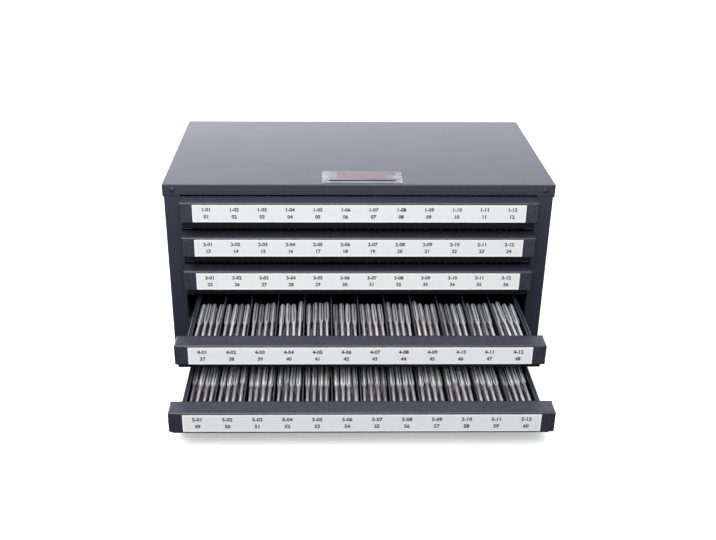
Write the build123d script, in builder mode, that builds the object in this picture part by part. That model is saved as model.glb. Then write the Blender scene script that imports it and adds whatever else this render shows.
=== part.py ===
from build123d import *

import os

# A five-drawer steel cabinet for taps and dies, with twelve compartments in each drawer.
# Millimetres. The origin is the centre of the base, on the surface it stands on.
# +X is right, +Y is back and +Z is up. Drawers four and five stand open.

# Case
case_width = 375.0
case_depth = 206.0
case_sheet = 0.8
bend_radius = 1.5
cover_gap = 0.3
front_lip_height = 10.4
side_lip_height = 13.2
corner_slit = 0.5
flange_width = 15.9
return_depth = 15.0
base_lip_height = 7.2
base_lip_gap = 0.5

# Rivets. Those of the runners are the same shape, made small enough for the channel.
rivet_diameter = 3.2
rivet_fit = 0.05
rivet_head_diameter = 5.6
rivet_head_height = 0.8
rivet_tail_diameter = 4.2
rivet_tail_length = 1.8
cover_rivet_drop = 5.4
cover_rivet_inset = 8.4
back_rivet_inset = 8.0
back_rivet_spacing = 74.0
base_rivet_height = 4.0
base_rivet_spacing = 72.0

# Foil label on the cover
foil_width = 77.5
foil_depth = 33.0
foil_thickness = 0.25
foil_x = 3.2
foil_from_front = 4.0
foil_corner_radius = 1.5

# Drawers, counted from the top, and how far each is pulled out
drawer_pulled_out = (0.0, 0.0, 0.0, 81.0, 136.0)
first_pull_drop = 12.2
drawer_spacing = 2.25
last_plate_height = 8.8
tray_side_gap = 10.5
tray_sheet = 0.8
tray_back_gap = 7.5
tray_rim_drop = 0.6
tray_rim_width = 4.0
tray_floor_rise = 0.4
tray_bend_radius = 0.7
compartment_count = 12
end_compartment_extra = 1.4

# Front plate, pull and label strip
plate_height = 33.4
plate_sheet = 0.8
plate_side_gap = 0.3
pull_height = 20.3
pull_depth = 17.8
pull_sheet = 0.8
pull_end_radius = 1.6
pull_top_radius = 1.5
pull_bottom_radius = 0.9
pull_return = 13.0
label_side_margin = 12.7
label_thickness = 0.3
label_drop = 1.9
label_rise = 1.0
pull_rivet_drop = 8.0
pull_rivet_compartments = (1, 4, 7, 10)

# Dividers
divider_sheet = 0.8
divider_drop = 1.0
divider_end_gap = 0.2
divider_corner_radius = 3.0
divider_tab_length = 14.0
divider_tab_spacing = 70.0
divider_slot_gap = 0.1

# Runners in the case and the slide rails of the drawers
runner_sheet = 1.2
runner_height = 8.0
runner_below_plate = 1.1
runner_tip_gap = 0.4
runner_end_gap = 1.0
runner_rivet_inset = 7.5
runner_rivet_clearance = 0.7
rail_sheet = 1.0
rail_height = 12.6
rail_side_gap = 1.9
rail_gap = 0.3
rail_front_gap = 1.5
rail_back_gap = 2.0
rail_rivet_height = 10.4
rail_rivet_spacing = 70.0
rail_left_inside = 34.4
stop_width = 3.6
stop_side_gap = 0.6
stop_gap = 0.3
stop_from_front = 5.0
catch_depth = 2.6

# Places worked out from the sizes above. Heights in a drawer are measured from its pull's top.
drawer_pitch = plate_height + drawer_spacing
drawer_count = len(drawer_pulled_out)
case_height = first_pull_drop + (drawer_count - 1) * drawer_pitch + plate_height + last_plate_height
half_width = case_width / 2
half_depth = case_depth / 2
web_x = half_width - case_sheet - cover_gap
opening_x = web_x - flange_width
front_y = case_sheet + cover_gap - half_depth
back_y = half_depth - case_sheet - cover_gap
rear_flange_y = back_y - case_sheet
inside_front_y = front_y + case_sheet
inside_back_y = rear_flange_y - case_sheet
wall_top = case_height - case_sheet
pull_tops = [case_height - first_pull_drop - row * drawer_pitch for row in range(drawer_count)]

plate_half_width = opening_x - plate_side_gap
pull_front_y = front_y - pull_depth
label_width = 2 * (plate_half_width - label_side_margin)
label_height = pull_height - label_drop - label_rise
tray_half_width = opening_x - tray_side_gap
tray_front_y = front_y + plate_sheet
tray_back_y = inside_back_y - tray_back_gap
tray_top = -tray_rim_drop
tray_bottom = tray_floor_rise - plate_height
floor_top = tray_bottom + tray_sheet
compartment_pitch = 2 * (tray_half_width - tray_sheet - end_compartment_extra) / compartment_count
divider_xs = [(i - compartment_count / 2) * compartment_pitch for i in range(1, compartment_count)]
divider_middle_y = (tray_front_y + tray_back_y) / 2

runner_front_y = inside_front_y + runner_end_gap
runner_back_y = inside_back_y - runner_end_gap
runner_bottom = -plate_height - runner_below_plate
runner_drop = -runner_bottom - runner_height
runner_depth = tray_side_gap - rail_sheet - runner_tip_gap
channel_top = -runner_drop - runner_sheet
channel_bottom = runner_bottom + runner_sheet
runner_rivet_scale = (channel_top - channel_bottom - 2 * runner_rivet_clearance) / rivet_head_diameter
rail_bottom = channel_bottom + rail_gap
rail_width = tray_side_gap - runner_sheet - rail_side_gap
rail_front_y = tray_front_y + rail_front_gap
rail_back_y = tray_back_y - rail_back_gap
rail_middle_y = (rail_front_y + rail_back_y) / 2
stop_x = tray_half_width + rail_width - stop_side_gap - stop_width / 2
catch_y = runner_front_y + stop_from_front
stop_y = rail_back_y - rail_left_inside
drawer_travel = stop_y - catch_y - runner_sheet - stop_gap
drawer_open = [min(pulled_out, drawer_travel) for pulled_out in drawer_pulled_out]


def drawer_plane(row):
    """The frame of one drawer: level with its pull's top, moved forward by as much as it stands open."""
    return Plane(origin=(0, -drawer_open[row], pull_tops[row]))


def facing(direction, places):
    """Planes at these places whose normal points out of the sheet there."""
    return [Plane(origin=place, z_dir=direction) for place in places]


# Rivet places, each at the outer face of the outermost sheet
cover_rivet_x = web_x - cover_rivet_inset
cover_rivet_z = case_height - cover_rivet_drop
cover_rivet_xs = (-cover_rivet_x, cover_rivet_x)
front_cover_rivets = facing((0, -1, 0), [(x, -half_depth, cover_rivet_z) for x in cover_rivet_xs])
back_cover_rivets = facing((0, 1, 0), [(x, half_depth, cover_rivet_z) for x in cover_rivet_xs])
back_rivet_x = web_x - back_rivet_inset
back_rivet_zs = [case_height / 2 + step * back_rivet_spacing for step in (-1, 0, 1)]
back_rivet_xs = (-back_rivet_x, back_rivet_x)
back_rivets = facing((0, 1, 0), [(x, back_y, z) for x in back_rivet_xs for z in back_rivet_zs])
base_rivet_ys = (-base_rivet_spacing, 0, base_rivet_spacing)
base_rivets = facing((-1, 0, 0), [(-web_x, y, base_rivet_height) for y in base_rivet_ys])
base_rivets += facing((1, 0, 0), [(web_x, y, base_rivet_height) for y in base_rivet_ys])
runner_rivet_ys = (inside_front_y + runner_rivet_inset, inside_back_y - runner_rivet_inset)
runner_rivet_x = opening_x - runner_sheet
runner_rivet_drop = runner_drop + runner_height / 2
runner_rivet_zs = [top - runner_rivet_drop for top in pull_tops]
runner_rivet_yzs = [(y, z) for y in runner_rivet_ys for z in runner_rivet_zs]
runner_rivets = facing((1, 0, 0), [(-runner_rivet_x, y, z) for y, z in runner_rivet_yzs])
runner_rivets += facing((-1, 0, 0), [(runner_rivet_x, y, z) for y, z in runner_rivet_yzs])
pull_rivet_xs = [(i + 0.5 - compartment_count / 2) * compartment_pitch for i in pull_rivet_compartments]
pull_rivets = facing((0, 1, 0), [(x, tray_front_y + tray_sheet, -pull_rivet_drop) for x in pull_rivet_xs])
rail_rivet_ys = [rail_middle_y + step * rail_rivet_spacing for step in (-1, 0, 1)]
rail_rivet_x = tray_half_width + rail_sheet
rail_rivet_z = rail_bottom + rail_rivet_height
rail_rivets = facing((-1, 0, 0), [(-rail_rivet_x, y, rail_rivet_z) for y in rail_rivet_ys])
rail_rivets += facing((1, 0, 0), [(rail_rivet_x, y, rail_rivet_z) for y in rail_rivet_ys])


def rivet_holes(planes, depth, scale=1.0):
    """Holes for rivets in the part being built, as deep as the sheets that the rivets join."""
    with Locations(*planes):
        Hole(scale * rivet_diameter / 2 + rivet_fit, depth=depth)


def make_rivet(grip, scale=1.0):
    """A blind rivet with a low domed head above the plane, and a set tail below the sheets it grips."""
    shank = scale * rivet_diameter / 2
    tail = scale * rivet_tail_diameter / 2
    end = -grip - scale * rivet_tail_length
    head = scale * rivet_head_diameter / 2
    crown = scale * rivet_head_height
    with BuildPart() as rivet:
        with BuildSketch(Plane.XZ):
            with BuildLine():
                ThreePointArc((0, crown), (head * 0.6, crown * 0.7), (head, 0))
                Polyline((head, 0), (shank, 0), (shank, -grip), (tail, -grip), (shank, end), (0, end),
                         (0, crown))
            make_face()
        revolve(axis=Axis.Z)
    return rivet.part


def write(piece, name):
    piece.part.label = name
    export_step(piece.part, f"parts/{name}.step")


def mirrored_align(side):
    """The alignment that grows a box inward from a face on the left or right side."""
    return Align.MAX if side > 0 else Align.MIN


def build_top_cover():
    """A shallow pan upside down: the front and back lips are folded down less than the side lips."""
    with BuildPart() as cover:
        with Locations((0, 0, case_height)):
            Box(case_width, case_depth, side_lip_height, align=(Align.CENTER, Align.CENTER, Align.MAX))
        fillet(cover.edges().filter_by(Axis.Z), bend_radius)
        fillet(cover.faces().sort_by(Axis.Z)[-1].edges(), bend_radius * 0.6)
        with Locations((0, 0, wall_top)):
            Box(case_width - 2 * case_sheet, case_depth - 2 * case_sheet, side_lip_height,
                align=(Align.CENTER, Align.CENTER, Align.MAX), mode=Mode.SUBTRACT)
        for y in (-half_depth, half_depth):
            with Locations((0, y, case_height - front_lip_height)):
                Box(case_width, 2 * case_sheet, side_lip_height,
                    align=(Align.CENTER, Align.CENTER, Align.MAX), mode=Mode.SUBTRACT)
            with Locations((0, y - (case_sheet + bend_radius) * y / half_depth, case_height - bend_radius)):
                Box(case_width, corner_slit, side_lip_height,
                    align=(Align.CENTER, Align.CENTER, Align.MAX), mode=Mode.SUBTRACT)
        rivet_holes(front_cover_rivets + back_cover_rivets, 2 * case_sheet)
    write(cover, "top_cover")


def build_side_panel(side, name):
    """A wall whose front and back edges are folded in twice, so that the runners can be riveted on."""
    inward = mirrored_align(side)
    return_bottom = base_lip_height + base_lip_gap
    with BuildPart() as panel:
        with Locations((side * web_x, front_y, 0)):
            Box(case_sheet, rear_flange_y - front_y, wall_top, align=(inward, Align.MIN, Align.MIN))
            Box(flange_width, case_sheet, wall_top, align=(inward, Align.MIN, Align.MIN))
        with Locations((side * web_x, rear_flange_y, 0)):
            Box(flange_width, case_sheet, wall_top, align=(inward, Align.MAX, Align.MIN))
        outer_bends = panel.edges().filter_by(Axis.Z).sort_by(Axis.X)
        fillet(outer_bends[-2:] if side > 0 else outer_bends[:2], bend_radius)
        for y, align_y in ((front_y, Align.MIN), (rear_flange_y, Align.MAX)):
            with Locations((side * opening_x, y, return_bottom)):
                Box(case_sheet, return_depth, wall_top - return_bottom,
                    align=(mirrored_align(-side), align_y, Align.MIN))
        rivet_holes(front_cover_rivets + back_cover_rivets + back_rivets + base_rivets, 4 * case_sheet)
        rivet_holes(runner_rivets, runner_sheet + case_sheet, runner_rivet_scale)
    write(panel, name)


def build_back_panel():
    with BuildPart() as panel:
        with Locations((0, back_y, 0)):
            Box(2 * (web_x - cover_gap), case_sheet, wall_top, align=(Align.CENTER, Align.MAX, Align.MIN))
        rivet_holes(back_cover_rivets + back_rivets, 4 * case_sheet)
    write(panel, "back_panel")


def build_base_pan():
    """The floor of the case, with a lip folded up along each edge."""
    middle_y = (inside_front_y + inside_back_y) / 2
    pan_width = 2 * (web_x - case_sheet)
    pan_depth = inside_back_y - inside_front_y
    with BuildPart() as pan:
        with Locations((0, middle_y, 0)):
            Box(pan_width, pan_depth, base_lip_height, align=(Align.CENTER, Align.CENTER, Align.MIN))
        fillet(pan.edges().filter_by(Axis.Z), bend_radius)
        with Locations((0, middle_y, case_sheet)):
            Box(pan_width - 2 * case_sheet, pan_depth - 2 * case_sheet, base_lip_height,
                align=(Align.CENTER, Align.CENTER, Align.MIN), mode=Mode.SUBTRACT)
        rivet_holes(base_rivets, 4 * case_sheet)
    write(pan, "base_pan")


def build_foil_label():
    with BuildPart() as foil:
        with Locations((foil_x, foil_from_front - half_depth, case_height)):
            Box(foil_width, foil_depth, foil_thickness, align=(Align.CENTER, Align.MIN, Align.MIN))
        fillet(foil.edges().filter_by(Axis.Z), foil_corner_radius)
    write(foil, "foil_label")


def build_runner(row, side, name):
    """A channel on the case, open inward. Tabs turned down in front and up behind are the stops."""
    top = pull_tops[row]
    tip_x = side * (opening_x - runner_depth)
    with BuildPart() as runner:
        with BuildSketch(Plane(origin=(0, runner_back_y, top), x_dir=(1, 0, 0), z_dir=(0, -1, 0))):
            with BuildLine():
                Polyline(
                    (tip_x, -runner_drop),
                    (side * opening_x, -runner_drop),
                    (side * opening_x, runner_bottom),
                    (tip_x, runner_bottom),
                    (tip_x, channel_bottom),
                    (side * runner_rivet_x, channel_bottom),
                    (side * runner_rivet_x, channel_top),
                    (tip_x, channel_top),
                    close=True,
                )
            make_face()
        extrude(amount=runner_back_y - runner_front_y)
        outer_bends = runner.edges().filter_by(Axis.Y).group_by(Axis.X)[-1 if side > 0 else 0]
        fillet(outer_bends, runner_sheet)
        with Locations((side * stop_x, catch_y, top + channel_top)):
            Box(stop_width, runner_sheet, catch_depth, align=(Align.CENTER, Align.MIN, Align.MAX))
        with Locations((side * stop_x, rail_back_y + stop_gap, top + channel_bottom)):
            Box(stop_width, runner_sheet, catch_depth, align=(Align.CENTER, Align.MIN, Align.MIN))
        rivet_holes(runner_rivets, runner_sheet + case_sheet, runner_rivet_scale)
    write(runner, name)


def build_case_rivets():
    cover_front = make_rivet(2 * case_sheet + cover_gap)
    cover_back = make_rivet(3 * case_sheet + cover_gap)
    two_sheets = make_rivet(2 * case_sheet)
    with BuildPart() as rivets:
        with Locations(*front_cover_rivets):
            add(cover_front)
        with Locations(*back_cover_rivets):
            add(cover_back)
        with Locations(*back_rivets, *base_rivets):
            add(two_sheets)
    write(rivets, "case_rivets")


def build_runner_rivets():
    rivet = make_rivet(runner_sheet + case_sheet, runner_rivet_scale)
    with BuildPart() as rivets:
        with Locations(*runner_rivets):
            add(rivet)
    write(rivets, "runner_rivets")


def build_tray(row, name):
    """Floor, front, back and sides of a drawer, the sides' top edges turned in over the compartments."""
    tray_height = tray_top - tray_bottom
    with BuildPart(drawer_plane(row)) as tray:
        with Locations((0, tray_front_y, tray_bottom)):
            Box(2 * tray_half_width, tray_back_y - tray_front_y, tray_height,
                align=(Align.CENTER, Align.MIN, Align.MIN))
        fillet(tray.edges().filter_by(Axis.Y), tray_bend_radius)
        with Locations((0, tray_front_y + tray_sheet, floor_top)):
            Box(2 * (tray_half_width - tray_sheet), tray_back_y - tray_front_y - 2 * tray_sheet,
                tray_height - 2 * tray_sheet, align=(Align.CENTER, Align.MIN, Align.MIN),
                mode=Mode.SUBTRACT)
            Box(2 * (tray_half_width - tray_rim_width), tray_back_y - tray_front_y - 2 * tray_sheet,
                tray_height, align=(Align.CENTER, Align.MIN, Align.MIN), mode=Mode.SUBTRACT)
        with Locations(*divider_tab_places(floor_top)):
            Box(divider_sheet + 2 * divider_slot_gap, divider_tab_length + 2 * divider_slot_gap,
                3 * tray_sheet, mode=Mode.SUBTRACT)
        rivet_holes(pull_rivets, tray_sheet + plate_sheet + pull_sheet)
        rivet_holes(rail_rivets, rail_sheet + tray_sheet)
    write(tray, name)


def divider_tab_places(z):
    """The middle of each divider's three tabs, at this height in the drawer."""
    steps = (-1, 0, 1)
    return [(x, divider_middle_y + step * divider_tab_spacing, z) for x in divider_xs for step in steps]


def build_dividers(row, name):
    """Upright plates across the drawer's width, each with three tabs through the floor."""
    length = tray_back_y - tray_front_y - 2 * (tray_sheet + divider_end_gap)
    height = tray_top - divider_drop - floor_top
    with BuildPart(drawer_plane(row)) as dividers:
        with Locations(*[(x, divider_middle_y, floor_top) for x in divider_xs]):
            Box(divider_sheet, length, height, align=(Align.CENTER, Align.CENTER, Align.MIN))
        top_corners = dividers.edges().filter_by(Axis.X).group_by(Axis.Z)[-1]
        fillet(top_corners, divider_corner_radius)
        with Locations(*divider_tab_places(floor_top)):
            Box(divider_sheet, divider_tab_length, tray_sheet, align=(Align.CENTER, Align.CENTER, Align.MAX))
    write(dividers, name)


def build_front_plate(row, name):
    with BuildPart(drawer_plane(row)) as plate:
        with Locations((0, front_y, 0)):
            Box(2 * plate_half_width, plate_sheet, plate_height, align=(Align.CENTER, Align.MIN, Align.MAX))
        rivet_holes(pull_rivets, tray_sheet + plate_sheet + pull_sheet)
    write(plate, name)


def build_pull(row, name):
    """A hollow rail across the front, its top sheet turned down against the front plate."""
    middle_y = (pull_front_y + front_y) / 2
    with BuildPart(drawer_plane(row)) as pull:
        with Locations((0, middle_y, 0)):
            Box(2 * plate_half_width, pull_depth, pull_height, align=(Align.CENTER, Align.CENTER, Align.MAX))
        front_corners = pull.edges().filter_by(Axis.Z).group_by(Axis.Y)[0]
        fillet(front_corners, pull_end_radius)
        for end, radius in ((-1, pull_top_radius), (0, pull_bottom_radius)):
            level_edges = pull.faces().filter_by(Axis.Z).sort_by(Axis.Z)[end].edges()
            fillet(level_edges.sort_by(Axis.Y)[:-1], radius)
        with Locations((0, middle_y + pull_sheet, -pull_sheet)):
            Box(2 * (plate_half_width - pull_sheet), pull_depth, pull_height - 2 * pull_sheet,
                align=(Align.CENTER, Align.CENTER, Align.MAX), mode=Mode.SUBTRACT)
        with Locations((0, front_y, -pull_sheet)):
            Box(2 * (plate_half_width - pull_sheet), pull_sheet, pull_return - pull_sheet,
                align=(Align.CENTER, Align.MAX, Align.MAX))
        rivet_holes(pull_rivets, tray_sheet + plate_sheet + pull_sheet)
    write(pull, name)


def build_label(row, name):
    with BuildPart(drawer_plane(row)) as label:
        with Locations((0, pull_front_y, -label_drop)):
            Box(label_width, label_thickness, label_height, align=(Align.CENTER, Align.MAX, Align.MAX))
    write(label, name)


def build_rail(row, side, name):
    """An angle on the tray's side. Its level leg slides in the runner and its upturned tab is the stop."""
    inner_x = side * tray_half_width
    outward = mirrored_align(-side)
    length = rail_back_y - rail_front_y
    with BuildPart(drawer_plane(row)) as rail:
        with Locations((inner_x, rail_front_y, rail_bottom)):
            Box(rail_sheet, length, rail_height, align=(outward, Align.MIN, Align.MIN))
            Box(rail_width, length, rail_sheet, align=(outward, Align.MIN, Align.MIN))
        with Locations((side * stop_x, stop_y, rail_bottom + rail_sheet)):
            Box(stop_width, rail_sheet, channel_top - rail_gap - rail_bottom - rail_sheet,
                align=(Align.CENTER, Align.MIN, Align.MIN))
        rivet_holes(rail_rivets, rail_sheet + tray_sheet)
    write(rail, name)


def build_drawer_rivets(row, name):
    pull_rivet = make_rivet(tray_sheet + plate_sheet + pull_sheet)
    rail_rivet = make_rivet(rail_sheet + tray_sheet)
    with BuildPart(drawer_plane(row)) as rivets:
        with Locations(*pull_rivets):
            add(pull_rivet)
        with Locations(*rail_rivets):
            add(rail_rivet)
    write(rivets, name)


os.makedirs("parts", exist_ok=True)

build_top_cover()
build_back_panel()
build_base_pan()
build_foil_label()
build_case_rivets()
build_runner_rivets()
for side, side_name in ((-1, "left"), (1, "right")):
    build_side_panel(side, f"{side_name}_side_panel")
    for row in range(len(drawer_open)):
        build_runner(row, side, f"{side_name}_runner_{row + 1}")
        build_rail(row, side, f"drawer_{row + 1}_{side_name}_rail")

for row in range(len(drawer_open)):
    drawer = f"drawer_{row + 1}"
    build_tray(row, f"{drawer}_tray")
    build_dividers(row, f"{drawer}_dividers")
    build_front_plate(row, f"{drawer}_front_plate")
    build_pull(row, f"{drawer}_pull")
    build_label(row, f"{drawer}_label")
    build_drawer_rivets(row, f"{drawer}_rivets")
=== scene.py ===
import math

import bpy
import numpy as np
from mathutils import Matrix, Vector


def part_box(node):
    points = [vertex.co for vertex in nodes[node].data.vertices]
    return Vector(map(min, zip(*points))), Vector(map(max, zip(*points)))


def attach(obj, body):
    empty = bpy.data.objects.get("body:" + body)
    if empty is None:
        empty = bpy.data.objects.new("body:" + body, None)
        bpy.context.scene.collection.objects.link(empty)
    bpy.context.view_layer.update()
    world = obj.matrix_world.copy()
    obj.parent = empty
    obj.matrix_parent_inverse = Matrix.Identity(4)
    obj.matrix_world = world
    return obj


# Looks of a five-drawer steel cabinet for taps. Metres, in the cabinet's own frame:
# origin under the middle of the case, +X right, +Y back, +Z up.

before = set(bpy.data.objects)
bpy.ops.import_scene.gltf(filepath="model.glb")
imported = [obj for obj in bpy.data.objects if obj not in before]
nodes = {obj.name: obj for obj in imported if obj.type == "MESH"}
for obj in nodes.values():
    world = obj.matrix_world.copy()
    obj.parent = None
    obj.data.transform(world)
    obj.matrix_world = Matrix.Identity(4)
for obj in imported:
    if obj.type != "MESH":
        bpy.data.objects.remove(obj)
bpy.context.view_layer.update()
scene = bpy.context.scene
drawerNumbers = [1, 2, 3, 4, 5]
compartmentCount = 12
traySheet = 0.0008  # thickness of the trays and their dividers


def meshOf(name, points, corners, sizes, smooth):
    # one object at the origin, from its points, the corners of all its faces in a row, and how many
    # corners each face has
    mesh = bpy.data.meshes.new(name)
    mesh.vertices.add(len(points))
    mesh.vertices.foreach_set("co", np.asarray(points, dtype=np.float32).ravel())
    mesh.loops.add(len(corners))
    mesh.loops.foreach_set("vertex_index", corners)
    mesh.polygons.add(len(sizes))
    mesh.polygons.foreach_set("loop_start", np.cumsum(sizes) - sizes)
    mesh.polygons.foreach_set("use_smooth", np.broadcast_to(smooth, len(sizes)))
    mesh.update(calc_edges=True)
    mesh.validate()
    piece = bpy.data.objects.new(name, mesh)
    scene.collection.objects.link(piece)
    return piece


def meshPiece(name, points, *faceGroups, smooth=True):
    # the same from arrays of faces, where the faces of one array have the same number of corners
    groups = [np.asarray(faces, dtype=np.int32) for faces in faceGroups]
    corners = np.concatenate([faces.ravel() for faces in groups])
    sizes = np.concatenate([np.full(len(faces), faces.shape[1], dtype=np.int32) for faces in groups])
    return meshOf(name, points, corners, sizes, smooth)


def tubeFaces(rings, sides):
    # quads between neighbouring rings of a closed tube, facing outwards
    ring, side = np.meshgrid(np.arange(rings - 1), np.arange(sides), indexing="ij")
    nextSide = (side + 1) % sides
    quads = [ring * sides + nextSide, ring * sides + side,
             (ring + 1) * sides + side, (ring + 1) * sides + nextSide]
    return np.stack(quads, axis=-1).reshape(-1, 4)


def endCaps(rings, sides):
    # one flat face over each end of such a tube
    around = np.arange(sides)
    return np.stack([around, (rings - 1) * sides + around[::-1]])


def rectangle(name, corner, along, up):
    # one flat face: a corner, and the two edges that leave it
    steps = np.array([(0, 0), (1, 0), (1, 1), (0, 1)])
    points = np.array(corner) + steps @ np.array([along, up])
    return meshPiece(name, points, [[0, 1, 2, 3]], smooth=False)


class NodeTree:
    # short ways to add and link the nodes of one tree, whose patterns are read at place

    def __init__(self, tree, coordinates):
        self.tree = tree
        self.place = tree.nodes.new("ShaderNodeTexCoord").outputs[coordinates]

    def feed(self, socket, value):
        # links another node's output, or sets a fixed value; a colour has three numbers and is opaque
        if isinstance(value, bpy.types.NodeSocket):
            self.tree.links.new(value, socket)
        elif socket.type == "RGBA":
            socket.default_value = (*value, 1)
        else:
            socket.default_value = value

    def node(self, kind, settings=None, **inputs):
        made = self.tree.nodes.new(kind)
        for key, value in (settings or {}).items():
            setattr(made, key, value)
        for name, value in inputs.items():
            self.feed(made.inputs[name.replace("_", " ")], value)
        return made

    def axis(self, name, place=None):
        return self.node("ShaderNodeSeparateXYZ", Vector=place or self.place).outputs[name]

    def maths(self, operation, first, second=0.0):
        made = self.node("ShaderNodeMath", {"operation": operation})
        self.feed(made.inputs[0], first)
        self.feed(made.inputs[1], second)
        return made.outputs[0]

    def ramp(self, value, span, out=(0.0, 1.0), curve="LINEAR"):
        # goes from the first to the second number of out while value crosses span, and stays there
        made = self.node("ShaderNodeMapRange", {"interpolation_type": curve}, Value=value,
                         From_Min=span[0], From_Max=span[1], To_Min=out[0], To_Max=out[1])
        return made.outputs[0]


class Finish(NodeTree):
    # a material in the making: its shader, and the nodes that finishes are made of

    def __init__(self, name, **values):
        self.material = bpy.data.materials.new(name)
        self.material.use_nodes = True
        super().__init__(self.material.node_tree, "Object")
        self.shader = self.tree.nodes["Principled BSDF"]
        for socket, value in values.items():
            self.feed(self.shader.inputs[socket.replace("_", " ")], value)

    def moved(self, offset=(0, 0, 0), scale=(1, 1, 1)):
        mapping = self.node("ShaderNodeMapping", Vector=self.place, Location=offset, Scale=scale)
        return mapping.outputs[0]

    def noise(self, scale, detail=2.0, roughness=0.5, stretch=None):
        # stretch draws the pattern out along each axis where it is under 1
        place = self.moved(scale=stretch) if stretch else self.place
        made = self.node("ShaderNodeTexNoise", Vector=place, Scale=scale, Detail=detail,
                         Roughness=roughness)
        return made.outputs["Fac"]

    def blend(self, factor, first, second, how="MIX"):
        made = self.node("ShaderNodeMix", {"data_type": "RGBA", "blend_type": how}, Factor=factor)
        self.feed(made.inputs[6], first)  # 6 and 7 are the two colours
        self.feed(made.inputs[7], second)
        return made.outputs[2]

    def bump(self, height, strength, distance):
        made = self.node("ShaderNodeBump", Height=height, Strength=strength, Distance=distance)
        self.feed(self.shader.inputs["Normal"], made.outputs[0])

    def colour(self, value):
        self.feed(self.shader.inputs["Base Color"], value)

    def roughness(self, value):
        self.feed(self.shader.inputs["Roughness"], value)


def shaded(colour, level):
    # the same colour, darker where the level is under 1
    return tuple(channel * level for channel in colour)


noiseMiddle = (0.3, 0.7)  # most of a noise pattern's values lie between these


coats = {
    "case": {"colour": (0.024, 0.026, 0.042), "roughness": 0.36, "speck": 0.25},
    "tray": {"colour": (0.013, 0.014, 0.022), "roughness": 0.42, "speck": 0.25},
    # painted shade: the dividers' coat is darker than the tray's, for the shade on their sides between
    # the taps
    "divider": {"colour": (0.009, 0.009, 0.018), "roughness": 0.45, "speck": 0.15, "specular": 0.3},
    # painted shade: the front plates, set back under the pulls, are painted nearly black for the shade
    # there
    "shadedRecess": {"colour": (0.0035, 0.0038, 0.0075), "roughness": 0.50, "speck": 0.15, "specular": 0.3},
    "pull": {"colour": (0.025, 0.027, 0.043), "roughness": 0.40, "speck": 0.6, "grain": 0.35},
}

powderCoat = {
    "clouds": {"scale": 9.0, "detail": 3.0},
    "cloudShade": (0.86, 1.12),  # darkest and lightest, as shares of the coat's colour
    "grains": {"scale": 520.0, "detail": 1.0},
    "grainSpan": (0.35, 0.65),
    "specks": {"scale": 1600.0, "detail": 1.0},
    "speckSpan": (0.56, 0.72),
    "speckColour": (0.060, 0.064, 0.085),
    "gloss": {"scale": 38.0, "detail": 4.0},
    "glossSwing": 0.012,  # how far the roughness goes up and down
    "peel": {"scale": 900.0},
    "peelStrength": 0.16,
    "peelDepth": 0.0004,
}

# painted highlight: the top edges of the dividers and of the tray rims are painted lighter, as if
# catching the light
paintedRimHighlight = {
    "colour": (0.075, 0.075, 0.105),
    "soft": 0.0002,
    "dividerDepth": 0.0006,  # below the dividers' top edges
    "trayDepth": 0.0004,  # below the tray's rims
    "trayFlat": 0.0020,  # in from the tray's sides to the middle of the turned-in rim
    "flatSpan": (0.0015, 0.0019),  # from that middle, where the painted highlight starts and is full
}


def powderCoatFinish(name, colour, roughness, speck, specular=0.5, grain=0.0,
                     highlightAbove=None, flatX=None):
    # powder coat: slow clouds of tone, a grain, fine specks and an orange-peel bump; above the given
    # height the sheet's edge is painted lighter as a painted highlight, all but a flat band along x =
    # flatX on both sides
    paint = Finish(name, Specular_IOR_Level=specular)
    darker, lighter = (shaded(colour, level) for level in powderCoat["cloudShade"])
    coated = paint.blend(paint.noise(**powderCoat["clouds"]), darker, lighter)
    if grain:
        grains = paint.ramp(paint.noise(**powderCoat["grains"]), powderCoat["grainSpan"],
                            (1 - grain, 1 + grain))
        coated = paint.blend(1.0, coated, grains, "MULTIPLY")
    specks = paint.ramp(paint.noise(**powderCoat["specks"]), powderCoat["speckSpan"], (0.0, speck))
    coated = paint.blend(specks, coated, powderCoat["speckColour"])
    if highlightAbove is not None:
        soft = paintedRimHighlight["soft"]
        rimHighlight = paint.ramp(paint.axis("Z"), (highlightAbove - soft, highlightAbove + soft))
        if flatX is not None:
            side = paint.maths("ABSOLUTE", paint.axis("X"))
            fromFlat = paint.maths("ABSOLUTE", paint.maths("SUBTRACT", side, flatX))
            rimHighlight = paint.maths("MULTIPLY", rimHighlight, paint.ramp(fromFlat, paintedRimHighlight["flatSpan"]))
        coated = paint.blend(rimHighlight, coated, paintedRimHighlight["colour"])
    paint.colour(coated)
    swing = powderCoat["glossSwing"]
    paint.roughness(paint.ramp(paint.noise(**powderCoat["gloss"]), noiseMiddle,
                               (roughness - swing, roughness + swing)))
    paint.bump(paint.noise(**powderCoat["peel"]), powderCoat["peelStrength"], powderCoat["peelDepth"])
    return paint.material


def dividerFinish(row):
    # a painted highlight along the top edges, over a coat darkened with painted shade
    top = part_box(f"drawer_{row}_dividers")[1][2]
    return powderCoatFinish(f"dividerCoat{row}", **coats["divider"],
                            highlightAbove=top - paintedRimHighlight["dividerDepth"])


def trayFinish(row):
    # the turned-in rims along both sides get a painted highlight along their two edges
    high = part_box(f"drawer_{row}_tray")[1]
    return powderCoatFinish(f"trayCoatRimHighlight{row}", **coats["tray"],
                            highlightAbove=high[2] - paintedRimHighlight["trayDepth"],
                            flatX=high[0] - paintedRimHighlight["trayFlat"])


zincPlating = {
    "colour": (0.33, 0.34, 0.37),
    "shade": (0.20, 0.21, 0.24),
    "rollingLines": {"scale": 260.0, "detail": 3.0, "roughness": 0.6, "stretch": (1, 0.03, 1)},
    "clouds": {"scale": 24.0, "detail": 3.0},
    "toneSpan": (0.12, 0.38),
    "roughness": (0.36, 0.55),
    "bumpStrength": 0.1,
    "bumpDepth": 0.0003,
}


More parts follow.
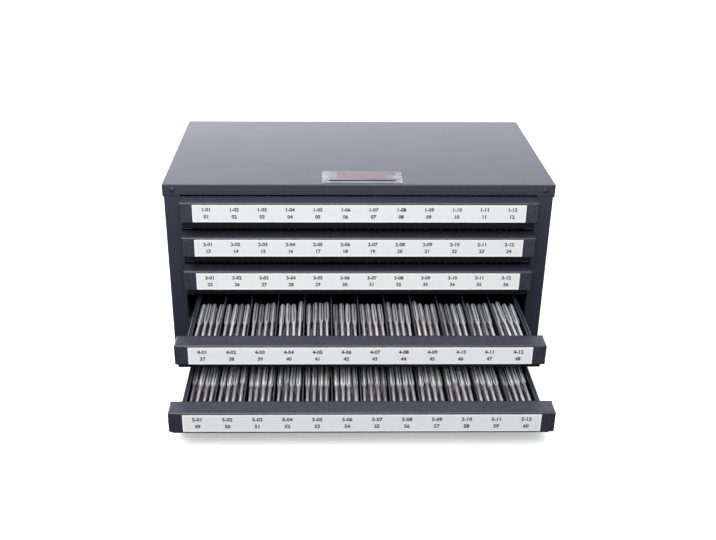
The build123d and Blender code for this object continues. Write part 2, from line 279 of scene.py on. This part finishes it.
def zincFinish():
    # zinc plate: a cloudy grey with rolling lines that run along the runner
    zinc = Finish("zincPlate", Metallic=1.0)
    lines = zinc.noise(**zincPlating["rollingLines"])
    clouds = zinc.noise(**zincPlating["clouds"])
    tone = zinc.ramp(zinc.maths("MULTIPLY", lines, clouds), zincPlating["toneSpan"])
    zinc.colour(zinc.blend(tone, zincPlating["shade"], zincPlating["colour"]))
    zinc.roughness(zinc.ramp(clouds, noiseMiddle, zincPlating["roughness"]))
    zinc.bump(lines, zincPlating["bumpStrength"], zincPlating["bumpDepth"])
    return zinc.material


rivetLook = {
    "colour": (0.62, 0.63, 0.65),
    "dullShade": 0.7,
    "clouds": {"scale": 420.0, "detail": 3.0},
    "roughness": (0.28, 0.5),
    "bumpStrength": 0.1,
    "bumpDepth": 0.0002,
}


def rivetFinish():
    # bare aluminium, duller in patches
    metal = Finish("bareRivet", Metallic=1.0)
    clouds = metal.noise(**rivetLook["clouds"])
    dull = shaded(rivetLook["colour"], rivetLook["dullShade"])
    metal.colour(metal.blend(clouds, dull, rivetLook["colour"]))
    metal.roughness(metal.ramp(clouds, noiseMiddle, rivetLook["roughness"]))
    metal.bump(clouds, rivetLook["bumpStrength"], rivetLook["bumpDepth"])
    return metal.material


labelLook = {
    "white": (0.80, 0.80, 0.80),
    "mottled": (0.55, 0.55, 0.56),
    "mottle": {"scale": 160.0, "detail": 3.0},
    "mottleShare": 0.06,
    "edge": (0.90, 0.90, 0.90),
    "edgeWidth": 0.0011,
    "edgeSoft": 0.0005,
    "specular": 0.4,
    "gloss": {"scale": 70.0},
    "roughness": (0.34, 0.46),
    "ripple": {"scale": 1200.0},
    "rippleStrength": 0.04,
    "rippleDepth": 0.0002,
}


def labelFinish(row):
    # card under film: a faint mottle, and a lighter border where the strip's edge is near, by the smaller
    # of half its width less |x| and half its height less |z|, from its middle
    low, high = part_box(f"drawer_{row}_label")
    middle = [(a + b) / 2 for a, b in zip(low, high)]
    card = Finish(f"labelCard{row}", Specular_IOR_Level=labelLook["specular"])
    local = card.moved(offset=[-value for value in middle])
    across = card.maths("ABSOLUTE", card.axis("X", local))
    up = card.maths("ABSOLUTE", card.axis("Z", local))
    distance = card.maths("MINIMUM", card.maths("SUBTRACT", high[0] - middle[0], across),
                          card.maths("SUBTRACT", high[2] - middle[2], up))
    width, soft = labelLook["edgeWidth"], labelLook["edgeSoft"]
    border = card.ramp(distance, (width - soft, width + soft), (1.0, 0.0))
    mottle = card.ramp(card.noise(**labelLook["mottle"]), noiseMiddle, (0.0, labelLook["mottleShare"]))
    white = card.blend(mottle, labelLook["white"], labelLook["mottled"])
    card.colour(card.blend(border, white, labelLook["edge"]))
    card.roughness(card.ramp(card.noise(**labelLook["gloss"]), noiseMiddle, labelLook["roughness"]))
    card.bump(card.noise(**labelLook["ripple"]), labelLook["rippleStrength"], labelLook["rippleDepth"])
    return card.material


filmLook = {
    "silver": (0.18, 0.18, 0.195),
    "dull": (0.045, 0.045, 0.06),
    "streaks": {"scale": 60.0, "detail": 4.0, "roughness": 0.6, "stretch": (0.25, 1, 1)},
    "streakSpan": (0.38, 0.62),
    "glint": (0.34, 0.35, 0.35),
    "glints": {"scale": 330.0, "detail": 3.0},
    "glintSpan": (0.45, 0.62),
    "glintEnds": (0.0295, 0.0355),  # from the middle, where the glints start and are full
    "red": (0.135, 0.046, 0.046),
    "redMiddle": (-0.0005, 0.0225),
    "redHalf": (0.0236, 0.0090),  # half its width and depth
    "wear": {"scale": 220.0, "detail": 4.0, "roughness": 0.6},
    "wearSpan": (0.35, 0.6),
    "wearShare": (0.60, 1.0),
    "dark": (0.006, 0.005, 0.008),
    "lineMiddle": (0.0, 0.0072),
    "lineHalf": (0.0325, 0.0017),
    "soft": 0.0008,
    "roughness": (0.28, 0.42),
    "ripple": {"scale": 140.0, "detail": 3.0},
    "rippleStrength": 0.08,
    "rippleDepth": 0.0006,
}


def filmFinish():
    # silvery film with a plain muted red band, and one thin matt dark line along its front edge;
    # places on it are from the middle of that edge
    low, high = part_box("foil_label")
    film = Finish("coverFilm")
    local = film.moved(offset=(-(low[0] + high[0]) / 2, -low[1], 0))
    x, y = (film.axis(name, local) for name in "XY")

    def patch(middle, half):
        # 1 inside a rectangle and 0 outside, by how far x and y are from its middle
        soft = filmLook["soft"]
        shares = []
        for value, centre, reach in zip((x, y), middle, half):
            offset = film.maths("ABSOLUTE", film.maths("SUBTRACT", value, centre))
            shares.append(film.ramp(offset, (reach - soft, reach + soft), (1.0, 0.0)))
        return film.maths("MULTIPLY", *shares)

    streaks = film.noise(**filmLook["streaks"])
    silver = film.blend(film.ramp(streaks, filmLook["streakSpan"]), filmLook["dull"], filmLook["silver"])
    ends = film.ramp(film.maths("ABSOLUTE", x), filmLook["glintEnds"])
    glints = film.ramp(film.noise(**filmLook["glints"]), filmLook["glintSpan"])
    silver = film.blend(film.maths("MULTIPLY", ends, glints), silver, filmLook["glint"])
    wear = film.ramp(film.noise(**filmLook["wear"]), filmLook["wearSpan"], filmLook["wearShare"])
    red = film.maths("MULTIPLY", patch(filmLook["redMiddle"], filmLook["redHalf"]), wear)
    line = patch(filmLook["lineMiddle"], filmLook["lineHalf"])
    film.colour(film.blend(line, film.blend(red, silver, filmLook["red"]), filmLook["dark"]))
    film.roughness(film.maths("MAXIMUM", film.ramp(streaks, noiseMiddle, filmLook["roughness"]), line))
    film.bump(film.noise(**filmLook["ripple"]), filmLook["rippleStrength"], filmLook["rippleDepth"])
    return film.material


casePaint = powderCoatFinish("caseCoat", **coats["case"])
# the front plates' coat is painted shade
recessShadePaint = powderCoatFinish("recessPaintedShade", **coats["shadedRecess"])
pullPaint = powderCoatFinish("pullCoat", **coats["pull"])
zincPlate = zincFinish()
bareRivet = rivetFinish()


def giveFinish(nodeName, material):
    # puts one material in every slot of a CAD node
    node = nodes[nodeName]
    for slot in node.material_slots:
        slot.material = material
    if not node.material_slots:
        node.data.materials.append(material)


for nodeName in ("top_cover", "left_side_panel", "right_side_panel", "back_panel", "base_pan",
                 "case_rivets"):
    giveFinish(nodeName, casePaint)
giveFinish("foil_label", filmFinish())
giveFinish("runner_rivets", bareRivet)
for row in drawerNumbers:
    drawerFinishes = {"tray": trayFinish(row), "dividers": dividerFinish(row),
                      "front_plate": recessShadePaint, "pull": pullPaint, "label": labelFinish(row),
                      "left_rail": zincPlate, "right_rail": zincPlate, "rivets": bareRivet}
    for part, finish in drawerFinishes.items():
        giveFinish(f"drawer_{row}_{part}", finish)
    for side in ("left", "right"):
        giveFinish(f"{side}_runner_{row}", zincPlate)
print("stage: finishes on", len(nodes), "nodes")


tapLook = {
    "metallic": 0.2,
    "tint": (0.99, 0.99, 1.0),
    "shankLightByDrawer": {1: 0.42, 2: 0.42, 3: 0.42, 4: 0.48, 5: 0.30},  # by drawer: painted light and shade, the bottom drawer's shanks darker against the glare of the front light
    # painted light: the bottom drawer's bodies are lighter, making up for the shade of the drawer above
    "bodyLightByDrawer": {1: 0.50, 2: 0.50, 3: 0.50, 4: 0.50, 5: 0.90},
    "wornShade": 0.58,
    "wornSpan": (0.30, 0.60),
    "streaks": {"scale": 900.0, "detail": 3.0, "roughness": 0.6, "stretch": (1, 0.06, 1)},
    # painted shade in the flutes: the grooves are painted near black
    "groove": (0.030, 0.028, 0.042),
    "grooveShadeSpan": (0.15, 0.7),
    "stain": (0.20, 0.155, 0.125),
    "stains": {"scale": 46.0, "detail": 3.0},
    "stainSpan": (0.60, 0.74),
    "stainShare": 0.5,
    "underShade": (0.36, 0.33, 0.38),  # painted shade: what is left of the colour on the taps below the top layer
    "roughness": (0.26, 0.44),
    "threadPitch": 0.0008,
    "threadShare": 0.5,  # of the bump; the streaks are the rest
    "threadStrength": 0.25,
    "threadDepth": 0.00035,
}


def tapFinish(row):
    # tool steel: a bright turned shank, and a duller body with grooves painted dark as painted shade and
    # with thread rings across it, told apart by the piece's own "thread" and "groove" attributes. A
    # ring's height is the sine of the distance along the tap in thread pitches. Streaks and a little
    # staining lie over both, "tone" makes one tap lighter or duller than the next, "under" darkens the
    # taps below the top layer with painted shade, and the lightness of shank and body is painted light
    # and shade that differs by drawer
    steel = Finish(f"toolSteelLitByDrawer{row}", Metallic=tapLook["metallic"])

    def mark(name):
        return steel.node("ShaderNodeAttribute", {"attribute_name": name}).outputs["Fac"]

    streaks = steel.noise(**tapLook["streaks"])
    worn = steel.ramp(streaks, tapLook["wornSpan"])
    body, shank = (steel.blend(worn, shaded(tapLook["tint"], level * tapLook["wornShade"]),
                               shaded(tapLook["tint"], level))
                   for level in (tapLook["bodyLightByDrawer"][row], tapLook["shankLightByDrawer"][row]))
    # painted shade: the grooves darkened
    grooveShaded = steel.blend(steel.ramp(mark("groove"), tapLook["grooveShadeSpan"]), body, tapLook["groove"])
    thread = mark("thread")
    stains = steel.ramp(steel.noise(**tapLook["stains"]), tapLook["stainSpan"],
                        (0.0, tapLook["stainShare"]))
    clean = steel.blend(stains, steel.blend(thread, shank, grooveShaded), tapLook["stain"])
    underShade = steel.blend(mark("under"), (1, 1, 1), tapLook["underShade"])
    shadedBelow = steel.blend(1.0, clean, underShade, "MULTIPLY")
    steel.colour(steel.blend(1.0, shadedBelow, mark("tone"), "MULTIPLY"))
    steel.roughness(steel.ramp(streaks, noiseMiddle, tapLook["roughness"]))
    turns = steel.maths("MULTIPLY", steel.axis("Y"), 2 * math.pi / tapLook["threadPitch"])
    rings = steel.maths("MULTIPLY", steel.maths("SINE", turns), thread)
    height = steel.maths("ADD", steel.maths("MULTIPLY", rings, tapLook["threadShare"]), streaks)
    steel.bump(height, tapLook["threadStrength"], tapLook["threadDepth"])
    return steel.material


tapShape = {
    "sides": 16,
    "sidesPerFlute": 4,
    "fluteDepth": 0.24,
    "length": 0.0695,
    "shankLength": 0.0292,
    "neckLength": 0.0050,  # from the shank's radius to the body's
    "bodyRadius": 0.00235,
    "tipLength": 0.0022,
    "tipRadius": 0.0018,
}

tapStack = {
    "pitch": 0.0060,
    "layers": (3, 4, 3, 4, 3, 4, 4),  # taps side by side, from the lowest layer up
    "nestedRise": 0.00366,
    "frontGap": 0.0020,
    "frontScatter": 0.0011,
    "setBack": 0.0045,
    "setBackShare": 0.10,  # one tap in ten lies that much further back
    "sideScatter": 0.00035,
    "turnScatter": 0.010,  # as a slope, sideways per length
    "layerScatter": 0.0002,
    "toneRange": (0.78, 1.18),
    "dullTone": 0.50,
    "dullShare": 0.10,
    "shankRadius": {1: 0.0013, 2: 0.0012, 3: 0.00135, 4: 0.0012, 5: 0.0014},  # by drawer
    "shankRange": (0.92, 1.08),
    "thickShank": 0.0020,
    "thickShare": 0.05,
    "seed": 7,
}


def layerLifts():
    # how far each layer is above the first: layers of three and of four nest in one another, and a layer
    # on one like itself is a whole tap higher
    lifts = [0.0]
    for below, above in zip(tapStack["layers"], tapStack["layers"][1:]):
        rise = 2 * tapShape["bodyRadius"] if above == below else tapStack["nestedRise"]
        lifts.append(lifts[-1] + rise)
    return lifts


def tapLies(row, rng):
    # one line for each tap of a drawer, with how it is made and how it lies: its place in its layer,
    # shifted a little to the side, back and up
    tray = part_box(f"drawer_{row}_tray")
    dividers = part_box(f"drawer_{row}_dividers")
    floor = dividers[0][2] + traySheet
    front = tray[0][1] + traySheet + tapStack["frontGap"]
    compartmentPitch = (dividers[1][0] - dividers[0][0] - traySheet) / (compartmentCount - 2)
    lifts = layerLifts()
    lies = []
    for compartment in range(compartmentCount):
        middle = (compartment + 0.5 - compartmentCount / 2) * compartmentPitch
        for tapCount, lift in zip(tapStack["layers"], lifts):
            for place in range(tapCount):
                shankRadius = tapStack["shankRadius"][row] * rng.uniform(*tapStack["shankRange"])
                if rng.random() < tapStack["thickShare"]:
                    shankRadius = tapStack["thickShank"]
                tone = rng.uniform(*tapStack["toneRange"])
                if rng.random() < tapStack["dullShare"]:
                    tone = tapStack["dullTone"]
                roll = rng.uniform(0, np.pi / 2)
                turn = rng.normal(0, tapStack["turnScatter"])
                side = middle + (place - (tapCount - 1) / 2) * tapStack["pitch"]
                side += rng.uniform(-1, 1) * tapStack["sideScatter"]
                back = front + rng.exponential(tapStack["frontScatter"])
                back += tapStack["setBack"] * (rng.random() < tapStack["setBackShare"])
                height = floor + tapShape["bodyRadius"] + lift
                height += rng.uniform(0, 1) * tapStack["layerScatter"]
                lies.append((shankRadius, roll, turn, side, back, height, tone, lift < lifts[-1]))
    return np.array(lies)


def tapsForDrawer(row, rng):
    # a profile of distance along the tap, radius and body share, carried round each tap's axis: a point's
    # radius is its ring's, times 1 minus flute depth times body share on every fourth side, so four
    # grooves run between four lands. Where the body share is 0, the radius is the tap's own shank's.
    # The arrays run over taps, rings and sides, so a drawer's taps are worked out at once
    shape = tapShape
    lies = tapLies(row, rng)
    shankRadius, roll, turn, side, back, height, tone, under = lies.T[:, :, None, None]
    neckEnd = shape["shankLength"] + shape["neckLength"]
    tipStart = shape["length"] - shape["tipLength"]
    along, ringRadius, bodyShare = np.array([
        (0.0, 0.0, 0.0),
        (shape["shankLength"], 0.0, 0.0),
        (neckEnd, shape["bodyRadius"], 1.0),
        (tipStart, shape["bodyRadius"], 1.0),
        (shape["length"], shape["tipRadius"], 1.0),
    ]).T[:, :, None]
    sideNumber = np.arange(shape["sides"])
    angle = sideNumber * 2 * np.pi / shape["sides"] + roll
    groove = bodyShare * (sideNumber % shape["sidesPerFlute"] == 0)
    radius = (ringRadius + (1 - bodyShare) * shankRadius) * (1 - shape["fluteDepth"] * groove)
    x = radius * np.cos(angle) + turn * (along - shape["length"] / 2) + side
    z = radius * np.sin(angle) + height
    points = np.stack([x, np.broadcast_to(along + back, x.shape), z], axis=-1)

    tapCount, ringCount = len(lies), len(along)
    firstPoints = (np.arange(tapCount) * ringCount * shape["sides"])[:, None, None]
    walls = tubeFaces(ringCount, shape["sides"])
    caps = endCaps(ringCount, shape["sides"])
    isShank = np.arange(len(walls)) < shape["sides"]
    smooth = np.concatenate([np.tile(isShank, tapCount), np.zeros(len(caps) * tapCount, dtype=bool)])
    piece = meshPiece(f"drawer_{row}_taps", points.reshape(-1, 3),
                      (firstPoints + walls).reshape(-1, walls.shape[1]),
                      (firstPoints + caps).reshape(-1, caps.shape[1]), smooth=smooth)
    for mark, shares in (("thread", bodyShare), ("groove", groove), ("under", under), ("tone", tone)):
        attribute = piece.data.attributes.new(mark, "FLOAT", "POINT")
        attribute.data.foreach_set("value", np.broadcast_to(shares, x.shape).ravel())
    piece.data.materials.append(tapFinish(row))
    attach(piece, f"drawer_{row}")


rng = np.random.default_rng(tapStack["seed"])
for row in drawerNumbers:
    tapsForDrawer(row, rng)
print("stage: taps")


printLook = {
    "ink": (0.022, 0.022, 0.026),
    "wornInk": (0.060, 0.060, 0.066),
    "patches": {"scale": 2600.0},
    "patchSpan": (0.2, 0.8),
    "roughness": (0.45, 0.6),
    "textSize": 0.0050,
    "boldness": 0.00020,
    "thickness": 0.00002,
    "curveSteps": 2,
    "upperLine": 0.28,  # both from the strip's top, as shares of its height
    "lowerLine": 0.69,
}


def inkFinish():
    # black ink, worn greyer in small patches
    ink = Finish("labelInk")
    patches = ink.noise(**printLook["patches"])
    ink.colour(ink.blend(patches, printLook["ink"], printLook["wornInk"]))
    ink.roughness(ink.ramp(patches, printLook["patchSpan"], printLook["roughness"]))
    return ink.material


def textFaces(words):
    # the points, corners and face sizes of one line of text: a thin closed mesh that stands in the XZ
    # plane, centred on the origin
    curve = bpy.data.curves.new("line", "FONT")
    curve.body = words
    curve.size = printLook["textSize"]
    curve.align_x = "CENTER"
    curve.align_y = "CENTER"
    curve.extrude = printLook["thickness"]
    curve.offset = printLook["boldness"]
    curve.resolution_u = printLook["curveSteps"]
    holder = bpy.data.objects.new("line", curve)
    mesh = bpy.data.meshes.new_from_object(holder)
    mesh.transform(Matrix.Rotation(math.pi / 2, 4, "X"))
    points = np.empty(len(mesh.vertices) * 3)
    corners = np.empty(len(mesh.loops), dtype=np.int32)
    sizes = np.empty(len(mesh.polygons), dtype=np.int32)
    mesh.vertices.foreach_get("co", points)
    mesh.loops.foreach_get("vertex_index", corners)
    mesh.polygons.foreach_get("loop_total", sizes)
    bpy.data.objects.remove(holder)
    bpy.data.curves.remove(curve)
    bpy.data.meshes.remove(mesh)
    return points.reshape(-1, 3), corners, sizes


def labelPrint(row, ink):
    # each compartment's drawer and place in it, and below that its running number in the cabinet, centred
    # on the compartment's share of the strip
    low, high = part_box(f"drawer_{row}_label")
    points, corners, sizes = [], [], []
    total = 0
    for compartment in range(compartmentCount):
        x = low[0] + (high[0] - low[0]) * (compartment + 0.5) / compartmentCount
        running = (row - 1) * compartmentCount + compartment + 1
        for words, drop in ((f"{row}-{compartment + 1:02d}", printLook["upperLine"]),
                            (f"{running:02d}", printLook["lowerLine"])):
            place = (x, low[1] - printLook["thickness"], high[2] - (high[2] - low[2]) * drop)
            linePoints, lineCorners, lineSizes = textFaces(words)
            points.append(linePoints + place)
            corners.append(lineCorners + total)
            sizes.append(lineSizes)
            total += len(linePoints)
    piece = meshOf(f"drawer_{row}_label_print", np.concatenate(points), np.concatenate(corners),
                   np.concatenate(sizes), smooth=False)
    piece.data.materials.append(ink)
    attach(piece, f"drawer_{row}")


labelInk = inkFinish()
for row in drawerNumbers:
    labelPrint(row, labelInk)
print("stage: label numbers")


roomAir = {
    "seenColour": (1.0, 1.0, 1.0),
    "colour": (0.95, 0.98, 1.06),
    "byZ": ((-0.25, 0.35), (0.06, 0.75)),  # from where to where on the axis, and from what to what
    "byY": ((0.2, 1.0), (0.35, 2.2)),
    "byX": ((-0.5, 0.5), (1.12, 0.80)),
}


def studioAir():
    # a plain white room to look at; as light it is brighter above, behind and to the left, and dim in
    # front and below: its strength is the product of a smooth step along each axis of the direction
    world = bpy.data.worlds.new("studioAir")
    world.use_nodes = True
    air = NodeTree(world.node_tree, "Generated")
    seen = air.tree.nodes["Background"]
    air.feed(seen.inputs["Color"], roomAir["seenColour"])
    upwards, backwards, sideways = (air.ramp(air.axis(name), *roomAir[f"by{name}"], "SMOOTHSTEP")
                                    for name in "ZYX")
    strength = air.maths("MULTIPLY", air.maths("MULTIPLY", upwards, backwards), sideways)
    lit = air.node("ShaderNodeBackground", Color=roomAir["colour"], Strength=strength)
    isSeen = air.node("ShaderNodeLightPath").outputs["Is Camera Ray"]
    choose = air.node("ShaderNodeMixShader", Fac=isSeen)
    air.feed(choose.inputs[1], lit.outputs[0])
    air.feed(choose.inputs[2], seen.outputs[0])
    air.feed(air.tree.nodes["World Output"].inputs["Surface"], choose.outputs[0])
    scene.world = world


paperFloor = {
    "corner": (-6.0, -6.0, -0.0001),
    "width": 12.0,
    "colour": (0.92, 0.92, 0.92),
    "shade": 0.985,
    "clouds": {"scale": 3.0},
    "roughness": 0.8,
    "specular": 0.1,
    "glow": 0.40,
}


def studioFloor():
    # pale paper, which doesn't show in the paint's gloss
    width = paperFloor["width"]
    floor = rectangle("studio_floor", paperFloor["corner"], along=(width, 0, 0), up=(0, width, 0))
    paper = Finish("floorPaper", Roughness=paperFloor["roughness"],
                   Specular_IOR_Level=paperFloor["specular"],
                   Emission_Color=(1, 1, 1), Emission_Strength=paperFloor["glow"])
    shade = shaded(paperFloor["colour"], paperFloor["shade"])
    paper.colour(paper.blend(paper.noise(**paperFloor["clouds"]), paperFloor["colour"], shade))
    floor.data.materials.append(paper.material)
    floor.visible_diffuse = False
    floor.visible_glossy = False


glossCards = {
    "floorCard": {"corner": (-1.2, -2.0, 0.002), "along": (2.4, 0, 0), "up": (0, 1.75, 0),
                  "glowAxis": "Y", "span": (-0.80, -0.42), "glow": (1.2, 0.0)},
    "backCard": {"corner": (1.3, 0.75, -0.20), "along": (-2.6, 0, 0), "up": (0, 0, 0.60),
                 "glowAxis": "X", "span": (-0.6, 0.6), "glow": (4.1, 2.9)},
}


def glossCard(name, corner, along, up, glowAxis, span, glow):
    # a glowing card that shows only in the paint's gloss, its glow changing steadily along one axis
    card = rectangle(name, corner, along, up)
    light = Finish(name, Roughness=1.0, Base_Color=(0, 0, 0), Emission_Color=roomAir["colour"])
    light.feed(light.shader.inputs["Emission Strength"], light.ramp(light.axis(glowAxis), span, glow))
    card.data.materials.append(light.material)
    card.visible_camera = False
    card.visible_diffuse = False
    card.visible_shadow = False


softLights = {
    "keyLight": {"power": 55.0, "size": 1.6, "place": (-0.30, -0.95, 1.60), "aim": (0.0, -0.10, 0.10)},
    "frontFill": {"power": 9.0, "size": 1.2, "place": (0.1, -2.2, 0.42), "aim": (0.0, -0.15, 0.06)},
    "rearFill": {"power": 12.0, "size": 1.5, "place": (0.6, 2.0, 0.9), "aim": (0.0, 0.10, 0.10),
                 "glossy": False},
}


def softLight(name, power, size, place, aim, glossy=True):
    # a square area light; the paint's gloss doesn't show one that isn't glossy
    lamp = bpy.data.lights.new(name, "AREA")
    lamp.energy = power
    lamp.size = size
    holder = bpy.data.objects.new(name, lamp)
    holder.location = place
    holder.visible_camera = False
    holder.visible_glossy = glossy
    holder.rotation_euler = (Vector(aim) - Vector(place)).to_track_quat("-Z", "Y").to_euler()
    scene.collection.objects.link(holder)


studioFloor()
for cardName, setup in glossCards.items():
    glossCard(cardName, **setup)
for lightName, setup in softLights.items():
    softLight(lightName, **setup)
studioAir()
scene.view_settings.view_transform = "Standard"


view = {
    "place": (-0.03431, -0.94057, 0.51104),
    "pitch": 25.734,
    "turn": 0.963,
    "roll": -0.433,
    "focalLength": 939.82,  # this and the next two in pixels
    "imageWidth": 716,
    "principalX": 337.41,
    "sensorWidth": 36.0,  # millimetres
    "nearClip": 0.01,
}


def photographView():
    # the camera looks down by pitch and towards +X by turn, then rolls about its own axis, in degrees
    pitch, turn, roll = (math.radians(view[key]) for key in ("pitch", "turn", "roll"))
    forward = Vector((math.sin(turn) * math.cos(pitch), math.cos(turn) * math.cos(pitch),
                      -math.sin(pitch)))
    level = Vector((math.cos(turn), -math.sin(turn), 0))
    down = forward.cross(level)
    right = math.cos(roll) * level + math.sin(roll) * down
    below = -math.sin(roll) * level + math.cos(roll) * down
    lens = bpy.data.cameras.new("photographView")
    lens.sensor_width = view["sensorWidth"]
    lens.lens = view["focalLength"] / view["imageWidth"] * view["sensorWidth"]
    lens.shift_x = 0.5 - view["principalX"] / view["imageWidth"]
    lens.clip_start = view["nearClip"]
    camera = bpy.data.objects.new("photographView", lens)
    turned = Matrix((right, -below, -forward)).transposed().to_4x4()
    camera.matrix_world = Matrix.Translation(view["place"]) @ turned
    scene.collection.objects.link(camera)
    scene.camera = camera


photographView()
print("stage: studio")
